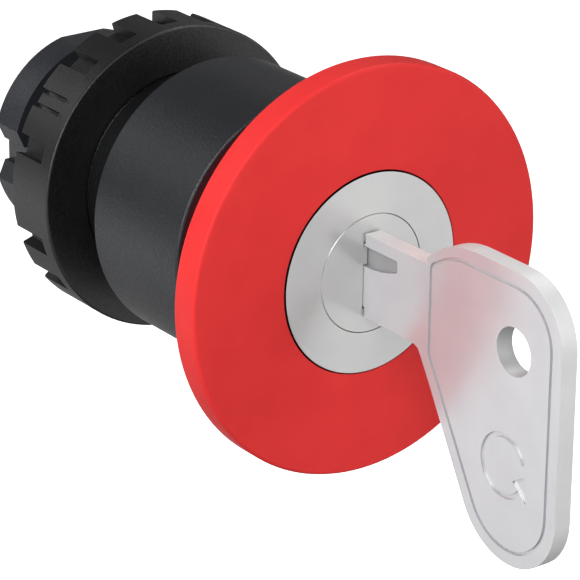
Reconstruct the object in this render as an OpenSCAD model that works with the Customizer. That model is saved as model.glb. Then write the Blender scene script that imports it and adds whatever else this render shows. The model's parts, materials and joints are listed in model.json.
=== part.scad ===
// Key-release emergency stop operator for a 22 mm panel hole, in millimetres.
// The button axis is Y: the mushroom head faces -Y, the panel and the contact side are at +Y, +Z is up.
// The origin is on the axis, in the plane where the seal meets the front of the panel.

/* [Mushroom head] */
// Diameter of the red head
head_d = 40; // [38:0.5:42]
// Distance from the panel to the flat face of the head
head_reach = 25.3; // [25:0.1:25.4]
// Thickness of the head at its rim
head_rim = 3.15; // [2.6:0.05:3.6]
// How far the head can be pushed in
push_travel = 5; // [3:0.5:5]

/* [Lock] */
// Diameter of the metal disc in the middle of the head
lock_face_d = 19.6; // [19:0.1:20]
// How far that disc stands out of the head
lock_proud = 0.1; // [0.05:0.05:0.6]
// Diameter of the part that the key turns
rotor_d = 11.58; // [11.5:0.02:11.6]
// Angle through which the key turns
key_turn = 45; // [30:5:45]

/* [Key] */
// Thickness of the flat key
key_t = 1.8; // [1.6:0.1:1.8]
// Height of the blade outside the lock
shoulder_h = 8.3; // [7.5:0.1:8.6]
// Height of the blade inside the lock
blade_h = 6.2; // [5.8:0.1:6.2]
// Diameter of the hole for a key ring
ring_hole_d = 4.6; // [4:0.1:5]

/* [Collar and barrel] */
// Outer diameter of the collar in front of the panel
collar_d = 28.2; // [27.8:0.1:29.5]
// Distance from the panel to the front edge of the collar
collar_reach = 14.3; // [14:0.1:14.6]
// Diameter of the neck that fills the panel hole
neck_d = 22; // [21.9:0.05:22.1]
// Length of the neck, from the seal to the thread
neck_len = 5.4; // [4.4:0.1:5.5]
// Diameter over the thread
thread_d = 21.7; // [21.6:0.05:21.8]
// Distance from the panel to the rear end of the barrel
barrel_reach = 22.9; // [22.5:0.1:24]

/* [Ring nut] */
// Outer diameter of the ring nut
nut_d = 31.2; // [30:0.1:32]
// Distance from the seal to the ring nut, with the nut as delivered
nut_gap = 5.65; // [5.6:0.05:6]
// Axial length of the ring nut
nut_len = 6.3; // [6:0.1:7.2]
// Depth of the pockets for the spanner
pocket_depth = 1.3; // [0.8:0.1:1.6]

/* [Hidden] */
$fn = 96;

// Clearances: between parts that are fixed to each other, and between parts that slide or turn.
slip = 0.05;
play = 0.1;

// Places along Y.
face_y = -head_reach;
lock_y = face_y - lock_proud;
head_back_y = face_y + head_rim;
hub_back_y = -11.6;
lock_seat_y = face_y + 1.7;
lock_flange_t = 1.3;
lock_back_y = -5.4;
rotor_shoulder_y = -5.2;
clip_t = 0.7;
tail_y = -3.6;
cam_front_y = -0.6;
cam_t = 1.6;
guide_y = -5.2;
stem_back_y = 5.6;
pusher_flange_y = 6.4;
thread_back_y = 16.7;
bayonet_y = 19.1;
ledge_y = 15.8;
seat_t = 0.6;
pusher_back_y = 21.4;
gasket_t = 1;

// Radii.
rotor_r = rotor_d / 2;
rotor_bore_r = rotor_r + slip;
hub_r = 11.2;
stem_r = 9.3;
stem_bore_r = 7.7;
lock_r = stem_bore_r - play;
guide_r = stem_r + play;
flange_r = 12.7;
rear_bore_r = 8.2;
thread_root_r = thread_d / 2 - 0.5;
nut_bore_r = thread_d / 2 + play;
collar_r = collar_d / 2;
head_r = head_d / 2;

// Wafers, counted from the front of the lock.
wafer_count = 5;
wafer_pitch = 3;
wafer_first_y = -22.3;
wafer_t = 1.2;
wafer_w = 7;
wafer_h = 9;
ear_x = 1.9;
window_w = 2.3;
window_h = 7.4;
wafer_lift = 0.45;
key_cuts = [0.5, 0.9, 0.4, 0.8, 0.6];

// The groove along one side of the blade, in which a ward of the keyway runs.
ward_low_z = 0.95;
ward_high_z = 2.95;
ward_depth = 0.5;

// Latch pawls, in slots of the stem.
pawl_y = 2.8;
pawl_len = 2.9;
pawl_w = 2.8;
pawl_in_x = 6.4;
pawl_out_x = 9.2;
keyway_r = 10.15;
keyway_back_y = pawl_y + pawl_len / 2 + push_travel + 1;

// Ring nut: pockets on an even pitch. On each half, one place holds a spring tongue and one is left solid.
pocket_count = 20;
pocket_pitch = 360 / pocket_count;
pocket_first = 35.3;
pocket_w = 2;
pocket_front_y = nut_gap + 1.7;
tongue_place = 1;
solid_place = 3;
ridged_places = [4, 5, 6, 8];
tongue_slot_w = 0.45;
ridge_pitch = 0.3;
ridge_h = 0.14;
tongue_short = 0.7;

// ---------- shared shapes ----------

// A solid of revolution about Y, from [radius, y] points.
module turned(points) {
    rotate([-90, 0, 0]) rotate_extrude() polygon(points);
}

module rod(r, y0, y1) {
    translate([0, y0, 0]) rotate([-90, 0, 0]) cylinder(r = r, h = y1 - y0);
}

module pipe(r_out, r_in, y0, y1) {
    difference() {
        rod(r_out, y0, y1);
        rod(r_in, y0 - 1, y1 + 1);
    }
}

// A box given by its lowest and highest corners.
module block(low, high) {
    translate(low) cube(high - low);
}

// Angle 0 is straight up, and angles grow towards +X, clockwise as seen from the front.
module at_angle(a) {
    rotate([0, a, 0]) children();
}

function unit(v) = v / norm(v);

// The arc that rounds the corner b between the points a and c.
function corner_arc(a, b, c, r, steps) =
    let (
        u = unit(a - b),
        v = unit(c - b),
        opening = acos(u * v),
        centre = b + unit(u + v) * r / sin(opening / 2),
        start = b + u * r / tan(opening / 2) - centre,
        turn = sign(cross(b - a, c - b)) * (180 - opening),
        from = atan2(start.y, start.x)
    )
    [for (i = [0:steps]) centre + r * [cos(from + turn * i / steps), sin(from + turn * i / steps)]];

// A closed outline from [x, y, corner radius] rows.
function rounded(rows, steps = 10) =
    let (n = len(rows), p = [for (row = rows) [row.x, row.y]])
    [
        for (i = [0:n - 1])
        each corner_arc(p[(i + n - 1) % n], p[i], p[(i + 1) % n], rows[i].z, steps)
    ];

// Moves every side of a rounded outline inwards. The rows run clockwise, with convex corners.
function inset(rows, d) =
    let (n = len(rows), p = [for (row = rows) [row.x, row.y]])
    [
        for (i = [0:n - 1])
        let (
            before = unit(p[i] - p[(i + n - 1) % n]),
            after = unit(p[(i + 1) % n] - p[i]),
            side_1 = [before.y, -before.x],
            side_2 = [after.y, -after.x],
            moved = p[i] + (side_1 + side_2) * d / (1 + side_1 * side_2)
        )
        [moved.x, moved.y, max(rows[i].z - d, 0.05)]
    ];

// A helical spring about Y. The two ends are cut square to the wire.
module coil(r, wire, y0, y1, turns, sides = 8, per_turn = 20) {
    rings = round(turns * per_turn);
    rise = (y1 - y0 - wire) / rings;
    points = [
        for (i = [0:rings], k = [0:sides - 1])
        let (
            a = 360 * i / per_turn,
            b = 360 * (k + 0.5) / sides,
            reach = r + wire / 2 * cos(b)
        )
        [reach * cos(a), y0 + wire / 2 + i * rise + wire / 2 * sin(b), reach * sin(a)]
    ];
    side_faces = [
        for (i = [0:rings - 1], k = [0:sides - 1])
        let (j = (k + 1) % sides, p = i * sides, q = p + sides)
        each [[p + k, p + j, q + j], [p + k, q + j, q + k]]
    ];
    first_end = [for (k = [0:sides - 1]) sides - 1 - k];
    last_end = [for (k = [0:sides - 1]) rings * sides + k];
    polyhedron(points, concat(side_faces, [first_end, last_end]));
}

// ---------- fixed to the panel ----------

module collar() {
    edge = 0.35;
    back_edge = 0.15;
    wall = 1.2;
    lip_r = 11.9;
    seat_r = 13.5;
    back_y = -0.3;
    color([0.13, 0.13, 0.14]) turned([
        [lip_r, -collar_reach + edge], [lip_r + edge, -collar_reach],
        [collar_r - edge, -collar_reach], [collar_r - edge / 3, -collar_reach + edge / 3],
        [collar_r, -collar_reach + edge], [collar_r, back_y - back_edge],
        [collar_r - back_edge, back_y],
        [seat_r, back_y], [seat_r, -gasket_t], [flange_r + slip, -gasket_t],
        [flange_r + slip, -collar_reach + wall], [lip_r, -collar_reach + wall]
    ]);
}

module barrel() {
    front_y = -11.8;
    front_bore_r = 11.6;
    undercut_r = neck_d / 2 - 0.4;
    pitch = 1;
    threads = floor((thread_back_y - neck_len - 0.4) / pitch);
    thread_y = neck_len + 0.4;
    crest_r = thread_d / 2;
    thread_corners = [[thread_root_r, 0], [crest_r, 0.35], [crest_r, 0.5], [thread_root_r, 0.85]];
    waist_r = 9.3;
    flat = 10.55;
    notch_w = 2.3;
    notch_r = 9.1;
    ramp_in = 9.6;
    ramp_out = 10.5;
    ramp_w = 6.2;
    difference() {
        color([0.13, 0.13, 0.14]) union() {
            turned(concat(
                [
                    [guide_r, guide_y], [front_bore_r, guide_y], [front_bore_r, front_y],
                    [flange_r, front_y], [flange_r, -gasket_t], [undercut_r, -gasket_t],
                    [undercut_r, 0], [neck_d / 2, 0], [neck_d / 2, neck_len], [thread_root_r, neck_len]
                ],
                [
                    for (i = [0:threads - 1], corner = thread_corners)
                    [corner.x, thread_y + pitch * (i + corner.y)]
                ],
                [
                    [thread_root_r, thread_back_y], [waist_r, thread_back_y], [waist_r, bayonet_y],
                    [rear_bore_r, bayonet_y], [rear_bore_r, ledge_y], [guide_r, ledge_y]
                ]
            ));
            // The bayonet ring, with a flat at the top and the bottom.
            intersection() {
                pipe(crest_r, rear_bore_r, bayonet_y - 0.01, barrel_reach);
                block([-crest_r - 1, 0, -flat], [crest_r + 1, barrel_reach + 1, flat]);
            }
        }
        for (side = [-1, 1]) {
            // A notch in the bayonet ring, between two ramps.
            translate([0, barrel_reach + 1, 0]) rotate([90, 0, 0])
                linear_extrude(barrel_reach + 1.3 - bayonet_y) polygon([
                    for (p = [
                        [notch_r, notch_w / 2], [ramp_in, notch_w / 2], [ramp_out, ramp_w / 2],
                        [crest_r + 1, ramp_w / 2], [crest_r + 1, -ramp_w / 2],
                        [ramp_out, -ramp_w / 2], [ramp_in, -notch_w / 2], [notch_r, -notch_w / 2]
                    ]) [side * p.x, p.y]
                ]);
            // Keyway for a latch pawl, which also keeps the head from turning.
            intersection() {
                block([side > 0 ? 5 : -keyway_r, 0.6, -1.8], [side > 0 ? keyway_r : -5, keyway_back_y, 1.8]);
                rod(keyway_r, 0, keyway_back_y + 1);
            }
        }
    }
}

module panel_gasket() {
    color([0.08, 0.08, 0.08]) pipe(13.4, neck_d / 2 + 0.1, -gasket_t, 0);
}

module stem_seal() {
    front_y = -collar_reach + 1.25;
    color([0.1, 0.1, 0.1]) turned([
        [hub_r + 0.08, front_y + 0.4], [hub_r + 0.4, front_y], [flange_r - slip, front_y],
        [flange_r - slip, -11.85], [hub_r + 0.9, -11.85], [hub_r + 0.08, front_y + 0.8]
    ]);
}

module spring_seat() {
    color("silver") pipe(guide_r - slip, rear_bore_r + slip, ledge_y - seat_t, ledge_y);
}

// ---------- ring nut ----------

// Ridges across the floor of a pocket at the top.
module floor_ridges() {
    floor_r = nut_d / 2 - pocket_depth;
    count = floor((nut_gap + nut_len - pocket_front_y) / ridge_pitch) - 1;
    end_y = pocket_front_y + count * ridge_pitch;
    translate([-pocket_w / 2 - 1, 0, 0]) rotate([90, 0, 90]) linear_extrude(pocket_w + 2) polygon([
        [end_y, floor_r - 0.1], [pocket_front_y, floor_r - 0.1],
        for (i = [0:count - 1])
        each [[pocket_front_y + i * ridge_pitch, floor_r],
            [pocket_front_y + (i + 0.5) * ridge_pitch, floor_r + ridge_h]],
        [end_y, floor_r]
    ]);
}

// A straight-sided cut into the rim at the top, open to the rear, between two X values.
module rim_cut(x0, x1, front_y) {
    block([x0, front_y, nut_d / 2 - pocket_depth], [x1, nut_gap + nut_len + 1, nut_d / 2 + 1]);
}

module ring_nut() {
    back_y = nut_gap + nut_len;
    edge = 0.25;
    bore_edge = 0.05;
    half = pocket_count / 2;
    color([0.13, 0.13, 0.14]) difference() {
        turned([
            [nut_bore_r + bore_edge, nut_gap], [nut_d / 2 - edge, nut_gap],
            [nut_d / 2 - edge / 3, nut_gap + edge / 3], [nut_d / 2, nut_gap + edge],
            [nut_d / 2, back_y - 0.2], [nut_d / 2 - 0.2, back_y], [nut_bore_r + 1.6, back_y],
            [nut_bore_r + 1.6, back_y - 1.4], [nut_bore_r, back_y - 2], [nut_bore_r, nut_gap + bore_edge]
        ]);
        for (i = [0:pocket_count - 1]) at_angle(-pocket_first - pocket_pitch * i) {
            place = i % half;
            if (place == tongue_place) {
                rim_cut(-pocket_w / 2, pocket_w / 2, back_y - tongue_short);
                rim_cut(-pocket_w / 2, tongue_slot_w - pocket_w / 2, pocket_front_y);
                rim_cut(pocket_w / 2 - tongue_slot_w, pocket_w / 2, pocket_front_y);
            } else if (place != solid_place) {
                difference() {
                    rim_cut(-pocket_w / 2, pocket_w / 2, pocket_front_y);
                    if (len(search(place, ridged_places)) > 0) floor_ridges();
                }
            }
        }
    }
}

// ---------- the head and what moves in with it ----------

module mushroom_cap() {
    edge = 0.4;
    pocket_r = lock_face_d / 2 + 0.13;
    recess_in = 12.4;
    recess_out = head_r - 1.5;
    recess_y = head_back_y - 1.2;
    rib_t = 1;
    difference() {
        color([0.86, 0.14, 0.13]) turned([
            [pocket_r, face_y], [head_r - edge, face_y], [head_r - edge * 0.29, face_y + edge * 0.29],
            [head_r, face_y + edge], [head_r, head_back_y - edge],
            [head_r - edge * 0.29, head_back_y - edge * 0.29], [head_r - edge, head_back_y],
            [hub_r + 0.6, head_back_y], [hub_r, head_back_y + 0.6], [hub_r, hub_back_y],
            [stem_r + slip, hub_back_y], [stem_r + slip, lock_seat_y], [pocket_r, lock_seat_y]
        ]);
        // The back is hollowed between ribs.
        difference() {
            pipe(recess_out, recess_in, recess_y, head_back_y + 1);
            for (a = [0:30:150]) at_angle(a)
                block([-head_r, recess_y - 1, -rib_t / 2], [head_r, head_back_y + 2, rib_t / 2]);
        }
    }
}

module lock_gasket() {
    front_y = lock_y + lock_flange_t + slip;
    color([0.1, 0.1, 0.1]) pipe(lock_face_d / 2, lock_r + 0.3, front_y, lock_seat_y - slip);
}

// The channels leave room for the wafers, which stand out of the rotor while the key is out.
module wafer_channels() {
    channel_r = norm([wafer_w / 2, wafer_h / 2 + wafer_lift]) + 0.45;
    first = -38;
    last = key_turn + 38;
    steps = 12;
    y0 = wafer_first_y - wafer_t;
    y1 = wafer_first_y + wafer_pitch * (wafer_count - 1) + wafer_t;
    for (s = [0, 180]) at_angle(s) intersection() {
        rod(channel_r, y0, y1);
        translate([0, y0, 0]) rotate([-90, 0, 0]) linear_extrude(y1 - y0) polygon(concat(
            [[0, 0]],
            [for (i = [0:steps]) let (a = first + (last - first) * i / steps) 9 * [sin(a), -cos(a)]]
        ));
    }
}

module lock_body() {
    flange_back_y = lock_y + lock_flange_t;
    edge = 0.04;
    color([0.8, 0.8, 0.8]) difference() {
        turned([
            [rotor_bore_r, lock_y], [lock_face_d / 2 - edge, lock_y], [lock_face_d / 2, lock_y + edge],
            [lock_face_d / 2, flange_back_y], [lock_r, flange_back_y], [lock_r, lock_back_y],
            [rotor_bore_r, lock_back_y]
        ]);
        wafer_channels();
    }
}

module stem_tube() {
    o_ring_y = -3;
    ring_y = lock_back_y + 0.1;
    color([0.18, 0.18, 0.19]) difference() {
        pipe(stem_r, stem_bore_r, lock_seat_y, stem_back_y);
        // Grooves for the two retaining rings and the O-ring.
        pipe(stem_r + 1, stem_r - 0.5, hub_back_y + 0.05, hub_back_y + 0.85);
        pipe(stem_bore_r + 0.45, stem_bore_r - 1, ring_y, ring_y + 0.8);
        pipe(stem_r + 1, stem_r - 1, o_ring_y - 0.65, o_ring_y + 0.65);
        block([-stem_r - 1, pawl_y - 1.6, -1.55], [stem_r + 1, pawl_y + 1.6, 1.55]);
    }
}

// An open ring, cut away around its gap.
module open_ring(r_out, r_in, y0, y1, gap) {
    difference() {
        pipe(r_out, r_in, y0, y1);
        block([-gap / 2, y0 - 1, 0], [gap / 2, y1 + 1, r_out + 1]);
    }
}

module cap_retaining_ring() {
    color("dimgray") open_ring(10.6, stem_r - 0.45, hub_back_y + 0.1, hub_back_y + 0.8, 3);
}

module stem_o_ring() {
    section_r = 0.48;
    color([0.1, 0.1, 0.1]) translate([0, -3, 0]) rotate([-90, 0, 0])
        rotate_extrude() translate([stem_r - 0.47, 0]) circle(r = section_r, $fn = 32);
}

module lock_retaining_ring() {
    y0 = lock_back_y + 0.15;
    color("dimgray") open_ring(stem_bore_r + 0.4, rotor_r + 1.2, y0, y0 + 0.7, 4);
}

module pusher() {
    foot_r = 6;
    slot_w = 2.4;
    slot_front_y = pusher_back_y - 1.6;
    spigot_y = 4.9;
    color([0.2, 0.2, 0.21]) difference() {
        turned([
            [0, spigot_y], [stem_bore_r - slip, spigot_y], [stem_bore_r - slip, stem_back_y],
            [stem_r, stem_back_y], [stem_r, pusher_flange_y], [foot_r, pusher_flange_y],
            [foot_r, pusher_back_y - 0.5], [foot_r - 0.5, pusher_back_y], [0, pusher_back_y]
        ]);
        // Four pads at the end press on the contact blocks.
        for (a = [45, 135]) at_angle(a)
            block([-foot_r - 1, slot_front_y, -slot_w / 2], [foot_r + 1, pusher_back_y + 1, slot_w / 2]);
    }
}

// ---------- what the key turns ----------

module key_rotor() {
    edge = 0.07;
    key_room = 0.07;
    slot_x = key_t / 2 + key_room;
    slot_z = blade_h / 2 + 3 * key_room;
    room = 0.05;
    clip_neck_r = 4.6;
    tail_r = 2.8;
    tail_back_y = cam_front_y + cam_t - 0.1;
    color([0.78, 0.78, 0.78]) difference() {
        turned([
            [0, lock_y], [rotor_r - edge, lock_y], [rotor_r, lock_y + edge], [rotor_r, rotor_shoulder_y],
            [clip_neck_r, rotor_shoulder_y], [clip_neck_r, rotor_shoulder_y + clip_t + 0.1],
            [rotor_r - 0.3, rotor_shoulder_y + clip_t + 0.1], [rotor_r - 0.3, tail_y],
            [tail_r, tail_y], [tail_r, tail_back_y], [0, tail_back_y]
        ]);
        // Keyway, with a ward that runs in the groove of the blade.
        difference() {
            block([-slot_x, lock_y - 1, -slot_z], [slot_x, -6.7, slot_z]);
            block([-slot_x - 1, lock_y - 2, ward_low_z + play],
                [ward_depth - play - key_t / 2, -6, ward_high_z - play]);
        }
        for (i = [0:wafer_count - 1]) at_angle(180 * (i % 2)) {
            y = wafer_first_y + wafer_pitch * i;
            block([-wafer_w / 2 - room, y - wafer_t / 2 - room, -rotor_r],
                [ear_x + room, y + wafer_t / 2 + room, rotor_r]);
            block([ear_x, y - wafer_t / 2 - room, -3.2],
                [wafer_w / 2 + room, y + wafer_t / 2 + room, rotor_r]);
        }
        // Flats that drive the cam, and the screw hole.
        for (s = [-1, 1])
            block([s > 0 ? 2.2 : -4, cam_front_y - 0.1, -4], [s > 0 ? 4 : -2.2, tail_back_y + 1, 4]);
        rod(1.05, -4.2, tail_back_y + 1);
    }
}

module rotor_clip() {
    y0 = rotor_shoulder_y + 0.05;
    color("dimgray") difference() {
        pipe(6.6, 4.65, y0, y0 + clip_t);
        block([-3.4, y0 - 1, 0], [3.4, y0 + 2, 8]);
    }
}

module release_cam() {
    cam_back_y = cam_front_y + cam_t;
    base_r = 3.8;
    lobe_r = 1.6;
    lobe_z = 3.9;
    color("goldenrod") difference() {
        union() {
            rod(base_r, cam_front_y, cam_back_y);
            for (s = [-1, 1]) {
                translate([0, 0, s * lobe_z]) rod(lobe_r, cam_front_y, cam_back_y);
                block([-lobe_r, cam_front_y, min(0, s * lobe_z)], [lobe_r, cam_back_y, max(0, s * lobe_z)]);
            }
        }
        intersection() {
            rod(2.8 + slip, cam_front_y - 1, cam_back_y + 1);
            block([-2.2 - slip, cam_front_y - 1, -4], [2.2 + slip, cam_back_y + 1, 4]);
        }
    }
}

module cam_screw() {
    seat_y = cam_front_y + cam_t;
    head_y = seat_y + 1.5;
    color("silver") difference() {
        union() {
            rod(1, -4, seat_y);
            turned([[0, seat_y], [3.3, seat_y], [3.3, head_y - 0.3], [3, head_y], [0, head_y]]);
        }
        for (a = [0, 90]) at_angle(a)
            block([-1.5, head_y - 0.8, -0.25], [1.5, head_y + 1, 0.25]);
    }
}

// ---------- the key ----------

// Key outlines are drawn as [distance in front of the head's face, height], clockwise.
// This turns such an outline into a plate between two X values.
module key_plate(points, x0, x1) {
    translate([x1, face_y, 0]) rotate([90, 0, -90]) linear_extrude(x1 - x0) polygon(points);
}

bow_rows = [
    [9.2, 4.75, 0.5], [12.5, 7.4, 9.5], [27.65, 7.35, 6.1],
    [27.75, -20.8, 6], [17.4, -20.8, 7], [9.3, -6.1, 1.2]
];
border_rows = [
    [9.65, 4.3, 0.9], [12.9, 6.15, 6], [26.5, 6.1, 5],
    [26.55, -19.6, 5], [18.1, -19.6, 5.6], [9.65, -4.5, 0.6]
];
ring_hole = [21.4, -0.15];
emblem = [20.6, -11.4];

// The blade inside the lock, with its cuts on alternate edges.
function blade_edge(s) = [
    for (i = [0:wafer_count - 1])
    if (i % 2 == (s > 0 ? 0 : 1))
    let (z = -head_reach - (wafer_first_y + wafer_pitch * i), d = key_cuts[i])
    each [[z + 0.6 + d, s * blade_h / 2], [z + 0.6, s * (blade_h / 2 - d)],
        [z - 0.6, s * (blade_h / 2 - d)], [z - 0.6 - d, s * blade_h / 2]]
];

// The X values between which a cut of some depth is made in one face of the key.
function face_cut(s, depth) = s > 0 ? [key_t / 2 - depth, key_t] : [-key_t, depth - key_t / 2];

module turn_symbol(r, line, x0, x1) {
    steps = 28;
    gap_from = 20;
    sweep = 300;
    arrow = 1.25;
    ring = [for (i = [0:steps]) let (a = gap_from + sweep * i / steps) [cos(a), sin(a)]];
    end = gap_from + sweep;
    key_plate([
        for (p = ring) emblem + (r + line / 2) * p,
        for (i = [0:steps]) emblem + (r - line / 2) * ring[steps - i]
    ], x0, x1);
    key_plate([
        emblem + (r + arrow) * [cos(end), sin(end)],
        emblem + (r - arrow) * [cos(end), sin(end)],
        emblem + r * [cos(end + 38), sin(end + 38)]
    ], x0, x1);
}

module key() {
    x = key_t / 2;
    stop_z = lock_proud + 0.2;
    tip_z = -18.3;
    groove_w = 0.34;
    groove_depth = 0.28;
    symbol_depth = 0.22;
    inside = [
        [stop_z, blade_h / 2], each blade_edge(1), [tip_z + 2, blade_h / 2], [tip_z, 0.8],
        [tip_z, -0.8], [tip_z + 2, -blade_h / 2],
        each [for (i = [len(blade_edge(-1)) - 1:-1:0]) blade_edge(-1)[i]],
        [stop_z, -blade_h / 2]
    ];
    color([0.82, 0.82, 0.84]) difference() {
        union() {
            key_plate(rounded(bow_rows), -x, x);
            key_plate([
                [stop_z, shoulder_h / 2], [10.4, shoulder_h / 2], [10.4, -7.2], [9.9, -7.2],
                [8.55, -4.9], [8.2, -4.4], [7.6, -shoulder_h / 2 - 0.03], [7.2, -shoulder_h / 2],
                [stop_z, -shoulder_h / 2]
            ], -x, x);
            key_plate(inside, -x, x);
        }
        translate([0, face_y - ring_hole.x, ring_hole.y]) rotate([0, 90, 0])
            cylinder(d = ring_hole_d, h = 2 * key_t, center = true);
        // The border line and the turn symbol, engraved on both faces.
        for (s = [-1, 1]) {
            groove_x = face_cut(s, groove_depth);
            symbol_x = face_cut(s, symbol_depth);
            difference() {
                key_plate(rounded(border_rows), groove_x[0], groove_x[1]);
                key_plate(rounded(inset(border_rows, groove_w)), -2 * key_t, 2 * key_t);
            }
            turn_symbol(2.9, 0.5, symbol_x[0], symbol_x[1]);
        }
        // The ward groove, which narrows and ends in front of the lock.
        key_plate([
            [tip_z - 1, ward_high_z], [5, ward_high_z], [5, ward_low_z + 0.9], [4.3, ward_low_z + 0.6],
            [2.8, ward_low_z + 0.2], [1.3, ward_low_z], [tip_z - 1, ward_low_z]
        ], -x - 1, ward_depth - x);
    }
}

// ---------- wafers and pawls ----------

module wafer(i) {
    y = wafer_first_y + wafer_pitch * i;
    color("gold") at_angle(180 * (i % 2)) difference() {
        block([-wafer_w / 2, y - wafer_t / 2, -wafer_h / 2], [wafer_w / 2, y + wafer_t / 2, wafer_h / 2]);
        block([-window_w / 2, y - wafer_t, -window_h / 2], [window_w / 2, y + wafer_t, window_h / 2]);
        block([ear_x, y - wafer_t, -wafer_h], [wafer_w, y + wafer_t, 0]);
    }
}

module wafer_1() { wafer(0); }
module wafer_2() { wafer(1); }
module wafer_3() { wafer(2); }
module wafer_4() { wafer(3); }
module wafer_5() { wafer(4); }

module wafer_spring(i) {
    y = wafer_first_y + wafer_pitch * i;
    color("silver") at_angle(180 * (i % 2)) translate([2.75, y, -3.1]) rotate([90, 0, 0])
        coil(0.42, 0.2, 0, 3, 5, 6, 12);
}

module wafer_spring_1() { wafer_spring(0); }
module wafer_spring_2() { wafer_spring(1); }
module wafer_spring_3() { wafer_spring(2); }
module wafer_spring_4() { wafer_spring(3); }
module wafer_spring_5() { wafer_spring(4); }

// A block with a rounded nose, seen here on the +X side.
module latch_pawl() {
    color("silver") intersection() {
        block([pawl_in_x, pawl_y - pawl_len / 2, -pawl_w / 2],
            [pawl_out_x, pawl_y + pawl_len / 2, pawl_w / 2]);
        rod(pawl_out_x, 0, 6);
    }
}

module latch_pawl_left() { mirror([1, 0, 0]) latch_pawl(); }
module latch_pawl_right() { latch_pawl(); }

// ---------- springs ----------

module return_spring() {
    color("silver") coil(8.25, 0.8, pusher_flange_y + 0.05, ledge_y - seat_t - 0.05, 4.5);
}

module rotor_spring() {
    color("silver") coil(3.8, 0.5, tail_y + 0.1, cam_front_y - 0.1, 4, 8, 16);
}

// An open ring that spreads the two pawls.
module pawl_spring() {
    color("silver") open_ring(pawl_in_x - 0.03, pawl_in_x - 0.5, pawl_y - 0.25, pawl_y + 0.25, 5);
}

collar();
barrel();
panel_gasket();
stem_seal();
spring_seat();
ring_nut();
mushroom_cap();
lock_gasket();
lock_body();
stem_tube();
cap_retaining_ring();
stem_o_ring();
lock_retaining_ring();
pusher();
key_rotor();
rotor_clip();
release_cam();
cam_screw();
key();
wafer_1();
wafer_2();
wafer_3();
wafer_4();
wafer_5();
latch_pawl_left();
latch_pawl_right();
return_spring();
pawl_spring();
rotor_spring();
wafer_spring_1();
wafer_spring_2();
wafer_spring_3();
wafer_spring_4();
wafer_spring_5();
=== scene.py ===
import json
import math

import bmesh
import bpy
from mathutils import Euler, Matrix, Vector


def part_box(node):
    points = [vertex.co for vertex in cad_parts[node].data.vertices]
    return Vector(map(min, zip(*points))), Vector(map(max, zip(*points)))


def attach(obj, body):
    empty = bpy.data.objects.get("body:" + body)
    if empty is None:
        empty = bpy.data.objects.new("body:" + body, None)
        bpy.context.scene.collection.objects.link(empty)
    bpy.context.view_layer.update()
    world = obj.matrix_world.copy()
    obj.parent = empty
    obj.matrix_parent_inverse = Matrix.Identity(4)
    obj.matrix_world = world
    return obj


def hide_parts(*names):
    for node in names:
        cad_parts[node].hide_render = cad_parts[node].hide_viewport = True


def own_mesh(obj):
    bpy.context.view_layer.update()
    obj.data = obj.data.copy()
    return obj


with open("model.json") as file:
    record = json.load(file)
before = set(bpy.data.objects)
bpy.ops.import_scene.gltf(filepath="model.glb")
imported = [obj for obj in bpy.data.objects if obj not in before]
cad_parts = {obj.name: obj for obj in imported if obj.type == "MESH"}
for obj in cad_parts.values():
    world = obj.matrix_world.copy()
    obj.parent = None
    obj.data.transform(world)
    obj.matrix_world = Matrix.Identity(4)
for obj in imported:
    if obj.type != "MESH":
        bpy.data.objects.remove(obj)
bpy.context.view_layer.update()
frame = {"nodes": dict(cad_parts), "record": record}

MM = 0.001
scene = bpy.context.scene
nodes = frame["nodes"]


# ---------- camera ----------

VIEW_TARGET = Vector((-6.8, -22.0, -1.2)) * MM
VIEW_DISTANCE = 292 * MM
# In degrees.
VIEW_AZIMUTH = 36.9
VIEW_ELEVATION = 22.4
VIEW_ROLL = 0.6
# In millimetres.
LENS = 197


def make_camera():
    """The camera stands in front, to the left and above, and looks at a point in the head."""
    data = bpy.data.cameras.new("camera")
    data.lens = LENS
    data.clip_start = 0.01
    data.clip_end = 10
    camera = bpy.data.objects.new("camera", data)
    scene.collection.objects.link(camera)
    turn = Euler((math.radians(90 - VIEW_ELEVATION), 0, math.radians(-VIEW_AZIMUTH))).to_matrix()
    roll = Euler((0, 0, math.radians(VIEW_ROLL))).to_matrix()
    camera.rotation_euler = (turn @ roll).to_euler()
    camera.location = VIEW_TARGET + turn @ Vector((0, 0, VIEW_DISTANCE))
    scene.camera = camera


make_camera()


# ---------- light and floor ----------

# Height in the dome, from 0 straight below to 1 overhead, and the light that comes from there.
DOME = [(0.0, 0.0), (0.2, 0.46), (0.35, 1.16), (0.5, 0.0), (0.65, 0.28), (0.8, 0.07)]

# The ramp holds the dome's light divided by this, because its colours stop at 1.
DOME_STRENGTH = 3

# Name, direction from the object, distance in metres, side in metres, watts.
SOFT_BOXES = [
    ("upper_left_box", (-0.6, -0.6, 0.7), 0.24, 0.17, 0.4),
    ("left_box", (-1, -0.1, 0.3), 0.5, 0.3, 1.2),
    ("front_low_box", (-0.4, -1, -0.15), 0.5, 0.4, 0.02),
    ("front_right_box", (0.8, -0.8, 0.3), 0.5, 0.4, 0.75),
    ("back_left_box", (-0.5, 0.75, 0.5), 0.4, 0.2, 0.13),
    ("above_right_box", (0.55, 0.2, 0.8), 0.5, 0.25, 0.6),
]
# In metres.
FLOOR_HEIGHT = -0.12
FLOOR_SIZE = 6
FLOOR_GREY = 0.9


def make_soft_box(name, direction, distance, side, watts):
    """A square area light that looks at the object from a direction."""
    data = bpy.data.lights.new(name, "AREA")
    data.size = side
    data.energy = watts
    light = bpy.data.objects.new(name, data)
    scene.collection.objects.link(light)
    away = Vector(direction).normalized()
    light.location = away * distance
    light.rotation_euler = away.to_track_quat("Z", "Y").to_euler()


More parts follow.
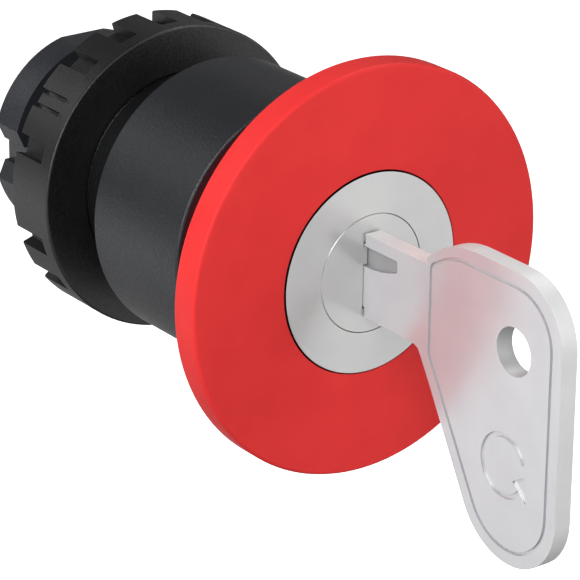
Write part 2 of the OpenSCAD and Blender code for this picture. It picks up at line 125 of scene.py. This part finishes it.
def make_world():
    """A white backdrop. What it sends to the object is a dome, brightest a little below the horizon."""
    world = bpy.data.worlds.new("studio")
    world.use_nodes = True
    tree = world.node_tree
    place = tree.nodes.new("ShaderNodeTexCoord")
    split = tree.nodes.new("ShaderNodeSeparateXYZ")
    height = tree.nodes.new("ShaderNodeMath")
    height.operation = "MULTIPLY_ADD"
    height.inputs[1].default_value = 0.5
    height.inputs[2].default_value = 0.5
    ramp = tree.nodes.new("ShaderNodeValToRGB")
    stops = ramp.color_ramp.elements
    for i, (place_in_dome, light) in enumerate(DOME):
        stop = stops[i] if i < 2 else stops.new(place_in_dome)
        stop.position = place_in_dome
        grey = light / DOME_STRENGTH
        stop.color = (grey, grey, grey, 1)
    dome = tree.nodes["Background"]
    dome.inputs["Strength"].default_value = DOME_STRENGTH
    backdrop = tree.nodes.new("ShaderNodeBackground")
    backdrop.inputs["Color"].default_value = (1, 1, 1, 1)
    path = tree.nodes.new("ShaderNodeLightPath")
    mix = tree.nodes.new("ShaderNodeMixShader")
    tree.links.new(place.outputs["Generated"], split.inputs["Vector"])
    tree.links.new(split.outputs["Z"], height.inputs[0])
    tree.links.new(height.outputs["Value"], ramp.inputs["Fac"])
    tree.links.new(ramp.outputs["Color"], dome.inputs["Color"])
    tree.links.new(path.outputs["Is Camera Ray"], mix.inputs["Fac"])
    tree.links.new(dome.outputs["Background"], mix.inputs[1])
    tree.links.new(backdrop.outputs["Background"], mix.inputs[2])
    tree.links.new(mix.outputs["Shader"], tree.nodes["World Output"].inputs["Surface"])
    scene.world = world


def make_floor():
    """A plain white floor, well below, which adds no light of its own to the object."""
    half = FLOOR_SIZE / 2
    corners = [(-half, -half, FLOOR_HEIGHT), (half, -half, FLOOR_HEIGHT),
               (half, half, FLOOR_HEIGHT), (-half, half, FLOOR_HEIGHT)]
    mesh = bpy.data.meshes.new("floor")
    mesh.from_pydata(corners, [], [(0, 1, 2, 3)])
    floor = bpy.data.objects.new("floor", mesh)
    scene.collection.objects.link(floor)
    floor.visible_diffuse = False
    floor.visible_glossy = False
    floor.visible_shadow = False
    material = bpy.data.materials.new("floor")
    material.use_nodes = True
    shader = material.node_tree.nodes["Principled BSDF"]
    shader.inputs["Base Color"].default_value = (FLOOR_GREY, FLOOR_GREY, FLOOR_GREY, 1)
    shader.inputs["Roughness"].default_value = 0.9
    shader.inputs["Emission Color"].default_value = (1, 1, 1, 1)
    shader.inputs["Emission Strength"].default_value = 1
    mesh.materials.append(material)


scene.view_settings.view_transform = "Standard"
make_world()
make_floor()
for box in SOFT_BOXES:
    make_soft_box(*box)


# ---------- materials ----------

# Nearly all of a noise lies between these values.
NOISE_LOW = 0.3
NOISE_HIGH = 0.7

# The stretch of the barrel that the panel and the ring nut cover, in millimetres from the panel. The barrel
# is painted near black there, as painted shade from the collar and the ring nut.
NECK_MIDDLE_Y = 8.5
NECK_HALF_LENGTH = 9.5
# The lock's face ends at this radius in millimetres, and what lies outside it is the lock's side, which is
# painted near black as painted shade in the gap between the lock and the cap.
LOCK_FACE_RADIUS = 9.77


def new_material(name):
    material = bpy.data.materials.new(name)
    material.use_nodes = True
    return material, material.node_tree, material.node_tree.nodes["Principled BSDF"]


def noise(tree, scale_per_mm, detail=3, stretch=(1, 1, 1)):
    """Noise with so many grains to the millimetre, in the object's own coordinates."""
    place = tree.nodes.new("ShaderNodeTexCoord")
    mapping = tree.nodes.new("ShaderNodeMapping")
    mapping.inputs["Scale"].default_value = [scale_per_mm / MM * s for s in stretch]
    texture = tree.nodes.new("ShaderNodeTexNoise")
    texture.inputs["Scale"].default_value = 1
    texture.inputs["Detail"].default_value = detail
    tree.links.new(place.outputs["Object"], mapping.inputs["Vector"])
    tree.links.new(mapping.outputs["Vector"], texture.inputs["Vector"])
    return texture.outputs["Fac"]


def spread(tree, value, low, high):
    """Maps a noise to a range."""
    remap = tree.nodes.new("ShaderNodeMapRange")
    remap.inputs["From Min"].default_value = NOISE_LOW
    remap.inputs["From Max"].default_value = NOISE_HIGH
    remap.inputs["To Min"].default_value = low
    remap.inputs["To Max"].default_value = high
    tree.links.new(value, remap.inputs["Value"])
    return remap.outputs["Result"]


def tint(tree, value, dark, light):
    """Goes from the dark colour to the light one as the value goes from 0 to 1."""
    mix = tree.nodes.new("ShaderNodeMix")
    mix.data_type = "RGBA"
    mix.inputs["A"].default_value = (*dark, 1)
    mix.inputs["B"].default_value = (*light, 1)
    tree.links.new(value, mix.inputs["Factor"])
    return mix.outputs["Result"]


def finish_material(name, dark, light, roughness, grain, depth, metallic=0.0, specular=0.5,
                    stretch=(1, 1, 1), patch=0.25):
    """Colour drifts between dark and light in soft patches. A fine grain sets the gloss and the bump.

    The grain and the patch are counted to the millimetre, and the depth of the bump is in millimetres.
    """
    material, tree, shader = new_material(name)
    patches = spread(tree, noise(tree, patch, 2), 0, 1)
    fine = noise(tree, grain, 4, stretch)
    tree.links.new(tint(tree, patches, dark, light), shader.inputs["Base Color"])
    tree.links.new(spread(tree, fine, roughness[0], roughness[1]), shader.inputs["Roughness"])
    bump = tree.nodes.new("ShaderNodeBump")
    bump.inputs["Distance"].default_value = depth * MM
    bump.inputs["Strength"].default_value = 1
    tree.links.new(fine, bump.inputs["Height"])
    tree.links.new(bump.outputs["Normal"], shader.inputs["Normal"])
    shader.inputs["Metallic"].default_value = metallic
    shader.inputs["Specular IOR Level"].default_value = specular
    return material


def make_black_plastic(name, dark, light):
    """Black plastic with the fine texture of a spark-eroded mould, and a cool sheen."""
    material = finish_material(name, dark, light, (0.32, 0.46), 4.5, 0.05)
    material.node_tree.nodes["Principled BSDF"].inputs["Specular Tint"].default_value = (0.93, 0.96, 1, 1)
    return material


def change_colour(tree, mask, colour):
    """Where the mask is 1, the base colour gives way to this one."""
    base = tree.nodes["Principled BSDF"].inputs["Base Color"]
    mix = tree.nodes.new("ShaderNodeMix")
    mix.data_type = "RGBA"
    mix.inputs["B"].default_value = (*colour, 1)
    tree.links.new(mask, mix.inputs["Factor"])
    tree.links.new(base.links[0].from_socket, mix.inputs["A"])
    tree.links.new(mix.outputs["Result"], base)


def scaled(tree, mask, at_0, at_1):
    """A value that is at_0 where the mask is 0, and at_1 where it is 1."""
    result = tree.nodes.new("ShaderNodeMath")
    result.operation = "MULTIPLY_ADD"
    result.inputs[1].default_value = at_1 - at_0
    result.inputs[2].default_value = at_0
    tree.links.new(mask, result.inputs[0])
    return result.outputs["Value"]


def make_barrel_plastic():
    """As the collar, but a little paler as painted light, and with the neck and thread painted much darker
    as painted shade.
    """
    # Painted light: the barrel's colours are paler than the collar's, to make up for the near lamp's light
    # falling off towards the barrel's far end.
    material = make_black_plastic("barrel_black", (0.018, 0.019, 0.023), (0.022, 0.023, 0.027))
    tree = material.node_tree
    place = tree.nodes.new("ShaderNodeTexCoord")
    split = tree.nodes.new("ShaderNodeSeparateXYZ")
    neck_shade = tree.nodes.new("ShaderNodeMath")
    neck_shade.operation = "COMPARE"
    neck_shade.inputs[1].default_value = NECK_MIDDLE_Y * MM
    neck_shade.inputs[2].default_value = NECK_HALF_LENGTH * MM
    tree.links.new(place.outputs["Object"], split.inputs["Vector"])
    tree.links.new(split.outputs["Y"], neck_shade.inputs[0])
    # Painted shade: the neck and thread are painted near black, for the shade that the collar and the ring
    # nut cast on them.
    change_colour(tree, neck_shade.outputs["Value"], (0.002, 0.002, 0.0022))
    return material


def make_lock_metal():
    """As the rotor, but with painted shade on the side that goes into the cap: near black, without metal
    sheen.
    """
    material = finish_material("lock_satin", (0.6, 0.6, 0.6), (0.64, 0.64, 0.635), (0.2, 0.26), 8, 0.0002)
    tree = material.node_tree
    shader = tree.nodes["Principled BSDF"]
    place = tree.nodes.new("ShaderNodeTexCoord")
    flatten = tree.nodes.new("ShaderNodeMapping")
    flatten.inputs["Scale"].default_value = (1, 0, 1)
    radius = tree.nodes.new("ShaderNodeVectorMath")
    radius.operation = "LENGTH"
    side_shade = tree.nodes.new("ShaderNodeMath")
    side_shade.operation = "GREATER_THAN"
    side_shade.inputs[1].default_value = LOCK_FACE_RADIUS * MM
    tree.links.new(place.outputs["Object"], flatten.inputs["Vector"])
    tree.links.new(flatten.outputs["Vector"], radius.inputs[0])
    tree.links.new(radius.outputs["Value"], side_shade.inputs[0])
    mask = side_shade.outputs["Value"]
    # Painted shade: the side is painted near black and loses its metal sheen, for the shade in the gap
    # between the lock and the cap.
    change_colour(tree, mask, (0.003, 0.003, 0.003))
    tree.links.new(scaled(tree, mask, 0.5, 0), shader.inputs["Metallic"])
    tree.links.new(scaled(tree, mask, 0.5, 0.05), shader.inputs["Specular IOR Level"])
    return material


def make_groove_shade_metal():
    """The ward groove: darker than the key's faces as painted shade, with fine marks along the blade."""
    return finish_material("groove_shade", (0.38, 0.38, 0.39), (0.45, 0.45, 0.46), (0.34, 0.42), 6, 0.001, 0.5,
                           stretch=(1, 0.1, 1))


def make_sheared_metal(name, dark, light, depth):
    """The cut edges of the key: duller than its faces, with fine marks through the thickness."""
    return finish_material(name, dark, light, (0.42, 0.52), 6, depth, 0.15, stretch=(0.12, 1, 1))


MATERIALS = {
    "red_plastic": finish_material(
        "red", (0.74, 0.034, 0.034), (0.78, 0.038, 0.037), (0.4, 0.48), 3, 0.002, specular=0.1),
    "black_plastic": make_black_plastic("black", (0.0125, 0.0132, 0.0155), (0.0155, 0.0162, 0.0188)),
    "nut_plastic": finish_material(
        "nut_black", (0.003, 0.0032, 0.0038), (0.0042, 0.0044, 0.005), (0.36, 0.5), 4.5, 0.022,
        specular=0.7),
    "grey_plastic": finish_material("grey", (0.1, 0.1, 0.105), (0.12, 0.12, 0.125), (0.45, 0.55), 6, 0.006),
    "satin_metal": finish_material(
        "satin", (0.6, 0.6, 0.6), (0.64, 0.64, 0.635), (0.2, 0.26), 8, 0.0002, metallic=0.5),
    "key_metal": finish_material(
        "key_nickel", (0.61, 0.61, 0.635), (0.65, 0.65, 0.67), (0.19, 0.25), 8, 0.0002, metallic=0.42),
    "spring_steel": finish_material(
        "steel", (0.5, 0.5, 0.52), (0.56, 0.56, 0.57), (0.29, 0.36), 8, 0.001, metallic=1),
    "brass": finish_material(
        "brass", (0.62, 0.4, 0.14), (0.7, 0.47, 0.19), (0.29, 0.38), 8, 0.001, metallic=1),
    "black_rubber": finish_material(
        "rubber", (0.012, 0.012, 0.012), (0.018, 0.018, 0.018), (0.6, 0.7), 6, 0.006),
}


for part in frame["record"]["subparts"]:
    for slot in nodes[part["node"]].material_slots:
        slot.material = MATERIALS[part["material_slot"]]
nodes["barrel"].material_slots[0].material = make_barrel_plastic()
nodes["lock_body"].material_slots[0].material = make_lock_metal()


# ---------- rounded edges ----------

# An edge that turns more than this is rounded.
SHARP = math.radians(28)
# Faces that turn less than this from one to the next are merged.
FLAT = math.radians(0.5)
# Points closer than this, in metres, are merged.
WELD = 1e-6
# How far a large face outweighs the small ones beside it in the shading, out of 100.
LARGE_FACE_WEIGHT = 80

# The radius that the edges ask for in millimetres, for every node that isn't a spring. The bevel keeps to
# what the shortest edges beside it allow, for a whole node at once. So the barrel and the ring nut get about
# 0.015, the lock body 0.011, the rotor 0.008 and the pusher 0.045. The others get what they ask for.
EDGE_RADIUS = {
    "collar": 0.1, "barrel": 0.07, "ring_nut": 0.06, "mushroom_cap": 0.05,
    "lock_body": 0.02, "key_rotor": 0.025, "pusher": 0.12, "stem_tube": 0.08, "release_cam": 0.1,
}
USUAL_EDGE_RADIUS = 0.05


def smooth_shading(thing, keep_sharp=False):
    """Large faces stay flat, and what lies between them is shaded smooth."""
    normals = thing.modifiers.new("normals", "WEIGHTED_NORMAL")
    normals.weight = LARGE_FACE_WEIGHT
    normals.keep_sharp = keep_sharp


def round_edges(thing, radius):
    """Takes the sharpness off the edges, as a mould or a tumbler does."""
    weld = thing.modifiers.new("weld", "WELD")
    weld.merge_threshold = WELD
    flat = thing.modifiers.new("flat_faces", "DECIMATE")
    flat.decimate_type = "DISSOLVE"
    flat.angle_limit = FLAT
    edge = thing.modifiers.new("edges", "BEVEL")
    edge.width = radius * MM
    edge.segments = 2
    edge.limit_method = "ANGLE"
    edge.angle_limit = SHARP
    edge.miter_outer = "MITER_ARC"
    smooth_shading(thing)


for name, node in nodes.items():
    if "spring" not in name or name == "spring_seat":
        round_edges(node, EDGE_RADIUS.get(name, USUAL_EDGE_RADIUS))
    else:
        weld = node.modifiers.new("weld", "WELD")
        weld.merge_threshold = WELD
        smooth_shading(node)


# ---------- pieces that stand for a CAD node ----------

def welded_shape(name):
    """The mesh of a CAD node, with its points merged."""
    shape = bmesh.new()
    shape.from_mesh(nodes[name].data)
    bmesh.ops.remove_doubles(shape, verts=shape.verts, dist=WELD)
    return shape


def add_piece(name, shape, materials):
    """Turns a shape into an object in the scene."""
    mesh = bpy.data.meshes.new(name)
    shape.to_mesh(mesh)
    shape.free()
    for material in materials:
        mesh.materials.append(material)
    piece = bpy.data.objects.new(name, mesh)
    scene.collection.objects.link(piece)
    return piece


# ---------- the key ----------

# In millimetres. The outer edges ask for this radius, but its short edges leave the key about 0.005.
KEY_OUTER_RADIUS = 0.22
KEY_BOW_LENGTH = 19
KEY_HOLE_CENTRE = Vector((0, -46.7, -0.15)) * MM
KEY_HOLE_RADIUS = 2.3
KEY_HOLE_MARGIN = 0.1
# The ward groove lies between these heights on the blade, in its -X face, and is no deeper than this.
WARD_LOW_Z = 0.9
WARD_HIGH_Z = 3
WARD_MOST_DEPTH = 0.6

# Edges that turn more than this are shaded as sharp.
KEY_SHARP = math.radians(40)
KEY_FLAT = math.radians(0.3)
KEY_EDGE_SEGMENTS = 4
# A wall goes right through the plate if it covers this much of the thickness.
THROUGH = 0.95
# The X part of a normal is under the first for a wall of the plate, and over the second for a face of it.
WALL_NORMAL = 0.001
FACE_NORMAL = 0.999
# The places of the key's materials in its list. Its faces have place 0. The groove and the ring hole's wall
# are painted darker as painted shade, and the outer walls paler as a painted highlight.
GROOVE_SHADE = 1
SHEARED = 2
RING_HOLE_SHADE = 3


def is_through_wall(face, thickness):
    """True for a wall that goes right through the plate."""
    across = [vertex.co.x for vertex in face.verts]
    return abs(face.normal.x) < WALL_NORMAL and max(across) - min(across) > THROUGH * thickness


def make_key():
    """The CAD key, with materials of its own for the cut edges, the ward groove and the ring hole, which
    carry painted light: the cut edges paler as a painted highlight, the groove and the ring hole darker as
    painted shade.

    Its outer edges are broken very finely, and what is cut into its faces has sharp edges.
    """
    shape = welded_shape("key")
    bmesh.ops.dissolve_limit(shape, angle_limit=KEY_FLAT, verts=shape.verts, edges=shape.edges)
    thickness = max(vertex.co.x for vertex in shape.verts) * 2
    bow_front_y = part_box("key")[0].y + KEY_BOW_LENGTH * MM
    for face in shape.faces:
        face.smooth = True
        if in_ward_groove(face, thickness, bow_front_y):
            face.material_index = GROOVE_SHADE
        elif is_through_wall(face, thickness):
            face.material_index = RING_HOLE_SHADE if in_ring_hole(face) else SHEARED
    outer = [edge for edge in shape.edges if is_outer_edge(edge, thickness)]
    bmesh.ops.bevel(shape, geom=outer, offset=KEY_OUTER_RADIUS * MM, offset_type="OFFSET",
                    segments=KEY_EDGE_SEGMENTS, profile=0.5, affect="EDGES", clamp_overlap=True)
    for edge in shape.edges:
        edge.smooth = edge.calc_face_angle(0) < KEY_SHARP
    key = add_piece("key_finished", shape, [
        MATERIALS["key_metal"],
        # Painted shade: the ward groove is painted darker than the faces.
        make_groove_shade_metal(),
        # Painted highlight, with a real duller finish: the outer walls are painted paler than the faces,
        # since light from above falls on the upward ones; their lower metal sheen is the duller finish of
        # the cut.
        make_sheared_metal("sheared", (0.7, 0.7, 0.7), (0.76, 0.76, 0.755), 0.003),
        # Painted shade and painted reflection: the ring hole's wall is painted darker than the other cut
        # edges, for the dark surroundings it reflects.
        make_sheared_metal("ring_hole_shade", (0.36, 0.36, 0.36), (0.5, 0.5, 0.5), 0.006),
    ])
    smooth_shading(key, keep_sharp=True)
    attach(key, "key")
    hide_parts("key")


def in_ward_groove(face, thickness, bow_front_y):
    """True for the floor and the walls of the groove along the blade."""
    def inside(point):
        in_depth = thickness / 2 - WARD_MOST_DEPTH * MM < -point.x < thickness / 2 + WELD
        return in_depth and WARD_LOW_Z * MM < point.z < WARD_HIGH_Z * MM and point.y > bow_front_y
    on_surface = all(abs(vertex.co.x + thickness / 2) < WELD for vertex in face.verts)
    return not on_surface and all(inside(vertex.co) for vertex in face.verts)


def in_ring_hole(face):
    """True for the wall of the hole for the key ring."""
    def inside(point):
        from_axis = point - KEY_HOLE_CENTRE
        from_axis.x = 0
        return from_axis.length < (KEY_HOLE_RADIUS + KEY_HOLE_MARGIN) * MM
    return all(inside(vertex.co) for vertex in face.verts)


def is_outer_edge(edge, thickness):
    """True for a sharp edge between a face of the plate and a wall that goes right through the plate."""
    faces = [face for face in edge.link_faces if abs(face.normal.x) > FACE_NORMAL]
    walls = [face for face in edge.link_faces if is_through_wall(face, thickness)]
    on_surface = all(abs(abs(vertex.co.x) - thickness / 2) < WELD for vertex in edge.verts)
    return edge.calc_face_angle(0) > SHARP and len(faces) == 1 and len(walls) == 1 and on_surface


make_key()


# ---------- the return spring ----------


def make_return_spring():
    """The CAD spring, which stays on its seat."""
    shape = welded_shape("return_spring")
    for face in shape.faces:
        face.smooth = True
    spring = add_piece("return_spring_finished", shape, [MATERIALS["spring_steel"]])
    smooth_shading(spring)
    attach(spring, "housing")
    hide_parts("return_spring")
    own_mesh(spring)


make_return_spring()
